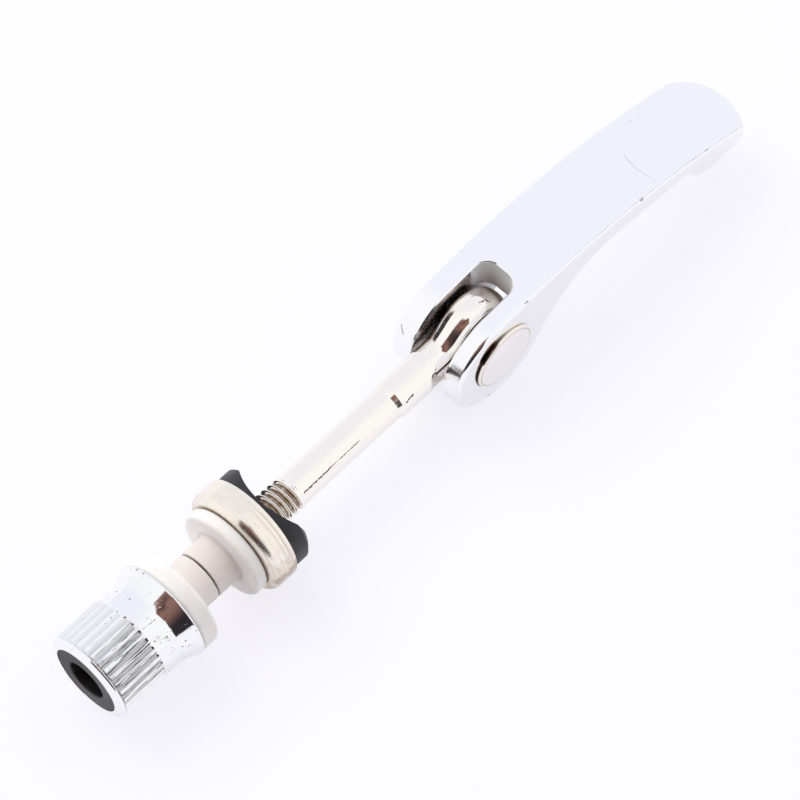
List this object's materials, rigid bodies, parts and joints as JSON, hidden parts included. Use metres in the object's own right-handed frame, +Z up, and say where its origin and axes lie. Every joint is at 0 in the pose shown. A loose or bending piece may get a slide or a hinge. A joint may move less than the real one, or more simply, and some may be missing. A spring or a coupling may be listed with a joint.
{
  "type": "quick-release skewer",
  "caption": "Quick-release skewer for a seatpost clamp: eye bolt, cam lever on a pin, cupped cam saddle, two flanged bushes and a fluted adjusting nut.",
  "frame": {"origin": "middle of the bounding box's base, below the rod", "axes": "+X along the rod towards the lever's tip, +Y along the pivot pin, +Z up through the lever's arched back"},
  "size_m": [0.1826, 0.0236, 0.0255],
  "materials": {
    "plated_steel": "satin",
    "polished_aluminium": "polished",
    "plated_pin": "polished",
    "black_saddle": "satin",
    "plated_cup": "polished",
    "white_nylon": "satin",
    "chrome_plate": "polished",
    "black_insert": "satin"
  },
  "bodies": {
    "skewer": {"eye_bolt": "plated_steel"},
    "lever": {"lever": "polished_aluminium", "pivot_pin": "plated_pin"},
    "inner_bush": {"inner_bush": "white_nylon"},
    "cup": {"cup_washer": "plated_cup"},
    "saddle": {"cam_saddle": "black_saddle"},
    "outer_bush": {"outer_bush": "white_nylon"},
    "nut": {"nut_shell": "chrome_plate", "nut_insert": "black_insert"}
  },
  "joints": [
    {"name": "lever_pivot", "type": "hinge", "parent": "skewer", "child": "lever", "pos_m": [0.01487, 0, 0.0133], "axis": [0, 1, 0], "range_deg": [-105, 110]},
    {"name": "inner_bush_slide", "type": "slide", "parent": "skewer", "child": "inner_bush", "axis": [1, 0, 0], "range_m": [0, 0.021]},
    {"name": "cup_slide", "type": "slide", "parent": "inner_bush", "child": "cup", "axis": [1, 0, 0], "range_m": [0, 0.021]},
    {"name": "saddle_turn", "type": "hinge", "parent": "cup", "child": "saddle", "pos_m": [-0.04623, 0, 0.0133], "axis": [1, 0, 0], "continuous": true},
    {"name": "outer_bush_slide", "type": "slide", "parent": "skewer", "child": "outer_bush", "axis": [-1, 0, 0], "range_m": [0, 0.009]},
    {"name": "nut_turn", "type": "hinge", "parent": "outer_bush", "child": "nut", "pos_m": [-0.07068, 0, 0.0133], "axis": [-1, 0, 0], "range_deg": [0, 2160]}
  ],
  "couplings": [
    {"joint": "outer_bush_slide", "follows": "nut_turn", "m_per_rad": 0.00023873}
  ]
}
